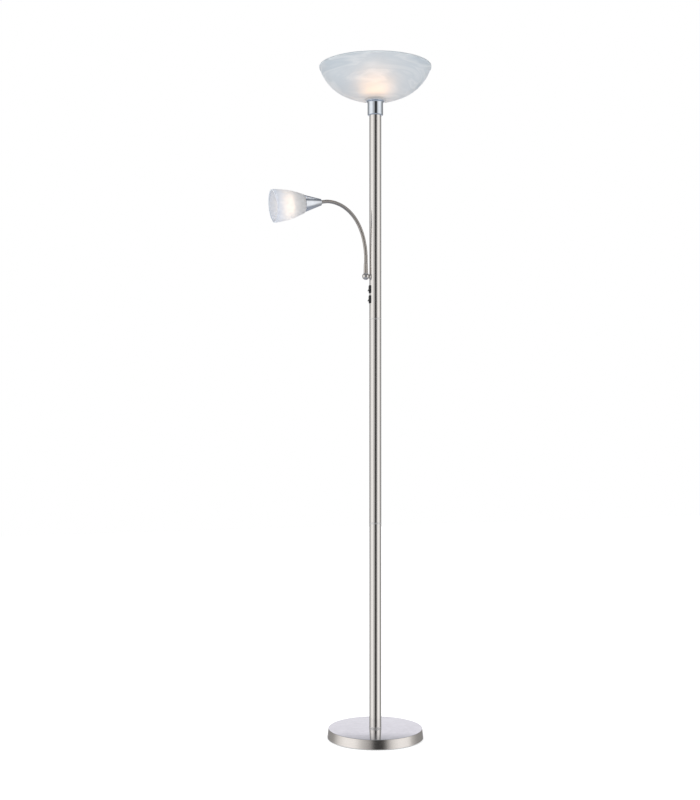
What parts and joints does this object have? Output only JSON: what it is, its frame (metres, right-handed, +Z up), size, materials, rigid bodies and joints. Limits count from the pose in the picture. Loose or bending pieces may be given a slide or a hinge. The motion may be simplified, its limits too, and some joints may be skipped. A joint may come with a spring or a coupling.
{
  "type": "torchiere floor lamp with reading light",
  "caption": "Floor lamp with an uplight bowl on a slim pole, a round base and a small reading light on a bendable arm.",
  "frame": {"origin": "on the floor under the pole's axis, at the centre of the foam pad's underside", "axes": "+Z up along the pole, the switches and the reading arm face -X, +Y away from the picture's viewer"},
  "size_m": [0.4369, 0.299, 1.7898],
  "materials": {
    "brushed_nickel": "vertically brushed nickel plate",
    "base_nickel": "brushed nickel plate",
    "polished_nickel": "polished",
    "chrome_cup": "polished chrome",
    "chrome_head": "polished chrome",
    "hose_nickel": "satin, finely ribbed",
    "bowl_glass": "frosted, alabaster pattern",
    "shade_glass": "frosted",
    "bulb_glass": "opal, lit",
    "switch_black": "black, slightly glossy",
    "foam_black": "matt",
    "grommet_black": "matt",
    "cast_iron": "raw casting",
    "zinc_steel": "zinc plated",
    "brass": "raw",
    "holder_plastic": "black thermoplastic",
    "gasket_clear": "clear silicone"
  },
  "bodies": {
    "stand": {"base_pad": "foam_black", "base_weight": "cast_iron", "base_cover": "base_nickel", "cord_grommet": "grommet_black", "base_washer": "zinc_steel", "base_nut": "zinc_steel", "foot_nipple": "zinc_steel", "foot_ring": "polished_nickel", "lower_tube": "brushed_nickel", "lower_joint_ring": "polished_nickel", "lower_joint_nipple": "zinc_steel", "middle_tube": "brushed_nickel", "upper_joint_ring": "polished_nickel", "upper_joint_nipple": "zinc_steel", "upper_tube": "brushed_nickel", "tube_inserts": "zinc_steel", "holder_cup": "chrome_cup", "cup_nipple": "zinc_steel", "cup_nut": "zinc_steel", "bowl_gasket": "gasket_clear", "glass_bowl": "bowl_glass", "bowl_lampholder": "holder_plastic", "bowl_holder_shell": "brass", "bowl_ring": "holder_plastic", "bowl_bulb": "bulb_glass", "bowl_bulb_cap": "brass", "upper_switch_housing": "switch_black", "lower_switch_housing": "switch_black", "upper_switch_terminals": "brass", "lower_switch_terminals": "brass", "arm_stub": "polished_nickel", "stub_nut": "zinc_steel", "stub_washer": "zinc_steel"},
    "upper_rocker": {"upper_rocker": "switch_black"},
    "lower_rocker": {"lower_rocker": "switch_black"},
    "arm": {"arm_ball": "polished_nickel", "arm_grub_screw": "zinc_steel", "arm_ferrule": "polished_nickel", "hose_link_1": "hose_nickel"},
    "hose_2": {"hose_link_2": "hose_nickel"},
    "hose_3": {"hose_link_3": "hose_nickel"},
    "hose_4": {"hose_link_4": "hose_nickel"},
    "hose_5": {"hose_link_5": "hose_nickel"},
    "hose_6": {"hose_link_6": "hose_nickel"},
    "hose_7": {"hose_link_7": "hose_nickel"},
    "head": {"hose_link_8": "hose_nickel", "reading_cone": "chrome_head", "reading_nipple": "zinc_steel", "reading_lampholder": "holder_plastic", "reading_holder_shell": "brass", "reading_ring": "holder_plastic", "reading_shade": "shade_glass", "reading_bulb": "bulb_glass", "reading_bulb_cap": "brass"}
  },
  "joints": [
    {"name": "upper_rocker_tilt", "type": "hinge", "parent": "stand", "child": "upper_rocker", "pos_m": [-0.0121, 0, 1.196], "axis": [0, 1, 0], "range_deg": [-26, 0]},
    {"name": "lower_rocker_tilt", "type": "hinge", "parent": "stand", "child": "lower_rocker", "pos_m": [-0.0121, 0, 1.169], "axis": [0, 1, 0], "range_deg": [-26, 0]},
    {"name": "arm_swing", "type": "hinge", "parent": "stand", "child": "arm", "pos_m": [-0.0268, 0, 1.23], "axis": [1, 0, 0], "range_deg": [-75, 75]},
    {"name": "hose_bend_2", "type": "hinge", "parent": "arm", "child": "hose_2", "pos_m": [-0.0268, 0, 1.28675], "axis": [0, -1, 0], "range_deg": [-8, 10]},
    {"name": "hose_bend_3", "type": "hinge", "parent": "hose_2", "child": "hose_3", "pos_m": [-0.03048, 0, 1.31758], "axis": [0, -1, 0], "range_deg": [-8, 10]},
    {"name": "hose_bend_4", "type": "hinge", "parent": "hose_3", "child": "hose_4", "pos_m": [-0.03857, 0, 1.34756], "axis": [0, -1, 0], "range_deg": [-8, 10]},
    {"name": "hose_bend_5", "type": "hinge", "parent": "hose_4", "child": "hose_5", "pos_m": [-0.05213, 0, 1.37549], "axis": [0, -1, 0], "range_deg": [-8, 10]},
    {"name": "hose_bend_6", "type": "hinge", "parent": "hose_5", "child": "hose_6", "pos_m": [-0.072, 0, 1.39935], "axis": [0, -1, 0], "range_deg": [-8, 10]},
    {"name": "hose_bend_7", "type": "hinge", "parent": "hose_6", "child": "hose_7", "pos_m": [-0.09799, 0, 1.41635], "axis": [0, -1, 0], "range_deg": [-8, 10]},
    {"name": "hose_bend_8", "type": "hinge", "parent": "hose_7", "child": "head", "pos_m": [-0.12816, 0, 1.42365], "axis": [0, -1, 0], "range_deg": [-8, 10]}
  ]
}
